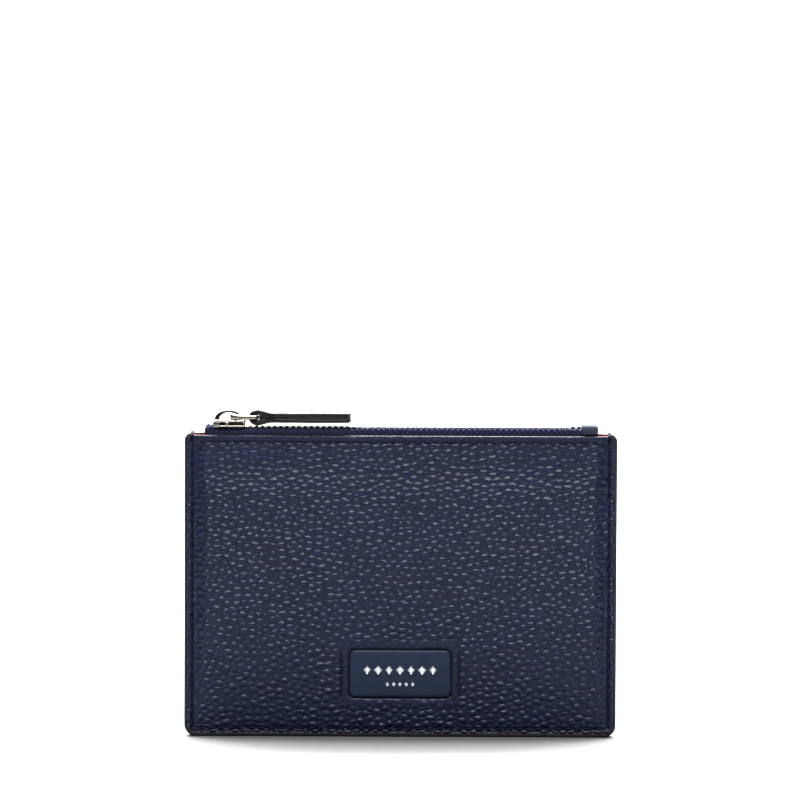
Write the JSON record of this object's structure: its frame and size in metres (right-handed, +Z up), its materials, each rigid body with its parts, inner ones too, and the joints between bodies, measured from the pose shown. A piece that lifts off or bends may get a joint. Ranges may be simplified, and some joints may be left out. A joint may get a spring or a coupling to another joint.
{
  "type": "zipped card holder",
  "caption": "Flat grained-leather pouch with a metal zip along its mouth, a leather pull, a padded front plaque and card slots on its back.",
  "frame": {"origin": "on the surface the pouch stands on, under the middle of its bounding box", "axes": "+X along the zip towards its end tab, +Y from the front panel to the card slots, +Z up to the mouth"},
  "size_m": [0.13, 0.0102, 0.0985],
  "materials": {
    "grain_leather": "navy pebble-grained, satin",
    "smooth_leather": "smooth navy, satin",
    "pull_leather": "smooth navy with painted edges",
    "board": "bonded leather board, hidden",
    "lining": "woven red lining",
    "edge_paint": "dark edge paint, satin",
    "thread": "violet-navy polyester thread",
    "zip_tape": "woven violet-navy tape",
    "nickel": "polished nickel plate"
  },
  "bodies": {
    "pouch": {"front_panel": "grain_leather", "front_board": "board", "front_lining": "lining", "back_panel": "grain_leather", "back_board": "board", "back_lining": "lining", "slot_strip_1": "grain_leather", "slot_strip_2": "grain_leather", "slot_pocket_front": "grain_leather", "pocket_lining_1": "lining", "pocket_lining_2": "lining", "pocket_lining_3": "lining", "edge_paint": "edge_paint", "side_seam_thread": "thread", "front_mouth_thread": "thread", "back_mouth_thread": "thread", "card_seam_thread": "thread", "plaque_thread": "thread", "plaque_cover": "smooth_leather", "plaque_core": "board", "plaque_backing": "smooth_leather", "zip_tape_front": "zip_tape", "zip_tape_back": "zip_tape", "zip_teeth_front": "nickel", "zip_teeth_back": "nickel", "zip_top_stops": "nickel", "zip_bottom_stop": "nickel", "zip_end_tab": "smooth_leather"},
    "slider": {"slider_body": "nickel", "slider_bail": "nickel"},
    "link": {"pull_link": "nickel"},
    "pull": {"pull_tab": "pull_leather", "pull_tab_filler": "board"}
  },
  "joints": [
    {"name": "slider_slide", "type": "slide", "parent": "pouch", "child": "slider", "axis": [1, 0, 0], "range_m": [0, 0.095], "deforming": ["zip_teeth_front", "zip_teeth_back"]},
    {"name": "link_hinge", "type": "hinge", "parent": "slider", "child": "link", "pos_m": [-0.0505, -0.00082, 0.09645], "axis": [0, -1, 0], "range_deg": [0, 120]},
    {"name": "pull_hinge", "type": "hinge", "parent": "link", "child": "pull", "pos_m": [-0.0434, -0.00082, 0.0962], "axis": [0, -1, 0], "range_deg": [-1.2, 60]}
  ]
}
